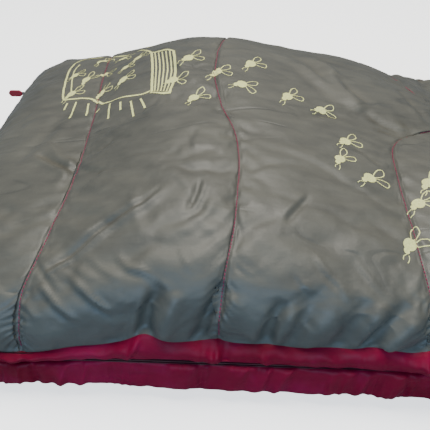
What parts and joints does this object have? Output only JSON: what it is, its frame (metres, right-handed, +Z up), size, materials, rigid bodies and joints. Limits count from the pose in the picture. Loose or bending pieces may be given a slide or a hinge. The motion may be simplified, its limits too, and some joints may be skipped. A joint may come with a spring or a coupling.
{
  "type": "rectangular sleeping bag",
  "caption": "Rectangular youth sleeping bag lying closed, with an arched quilted top, a flat quilted base and a zip along one side and round the foot.",
  "frame": {"origin": "centre of the flat underside, on the ground", "axes": "+X along the bag from the foot to the open head end, -Y towards the side with the zip, +Z up"},
  "size_m": [1.7208, 0.6667, 0.2044],
  "materials": {
    "shell_cloth": "satin",
    "lining_cloth": "satin",
    "filling": "matte",
    "thread": "satin",
    "zip_tape": "matte",
    "zip_coil": "satin",
    "zip_metal": "satin",
    "grip": "satin"
  },
  "bodies": {
    "bottom_quilt": {"bottom_shell": "lining_cloth", "bottom_fill": "filling", "bottom_lining": "lining_cloth", "bottom_facing": "lining_cloth", "bottom_head_hem": "lining_cloth", "bottom_quilting_thread": "thread", "side_joining_strip": "lining_cloth", "lower_zip_tape": "zip_tape", "lower_zip_coil": "zip_coil", "lower_zip_stops": "zip_metal"},
    "top_quilt": {"top_shell": "shell_cloth", "top_fill": "filling", "top_lining": "lining_cloth", "top_facing": "lining_cloth", "top_head_hem": "lining_cloth", "top_quilting_thread": "thread", "upper_zip_tape": "zip_tape", "upper_zip_coil": "zip_coil", "upper_zip_stops": "zip_metal"},
    "side_slider": {"side_slider": "zip_metal"},
    "side_pull": {"side_pull": "zip_metal", "side_pull_tab": "grip"},
    "foot_slider": {"foot_slider": "zip_metal"},
    "foot_pull": {"foot_pull": "zip_metal", "foot_pull_tab": "grip"}
  },
  "joints": [
    {"name": "top_quilt_opening", "type": "hinge", "parent": "bottom_quilt", "child": "top_quilt", "pos_m": [0, 0.331, 0.056], "axis": [-1, 0, 0], "range_deg": [0, 180], "deforming": ["side_joining_strip"]},
    {"name": "side_slider_travel", "type": "slide", "parent": "bottom_quilt", "child": "side_slider", "axis": [-1, 0, 0], "range_m": [0, 1.54]},
    {"name": "side_pull_swing", "type": "hinge", "parent": "side_slider", "child": "side_pull", "pos_m": [0.793, -0.333, 0.056], "axis": [0, 0, 1], "range_deg": [0, 170]},
    {"name": "foot_slider_travel", "type": "slide", "parent": "bottom_quilt", "child": "foot_slider", "axis": [0, -1, 0], "range_m": [0, 0.52]},
    {"name": "foot_pull_swing", "type": "hinge", "parent": "foot_slider", "child": "foot_pull", "pos_m": [-0.843, 0.283, 0.056], "axis": [0, 0, 1], "range_deg": [-80, 80]}
  ]
}
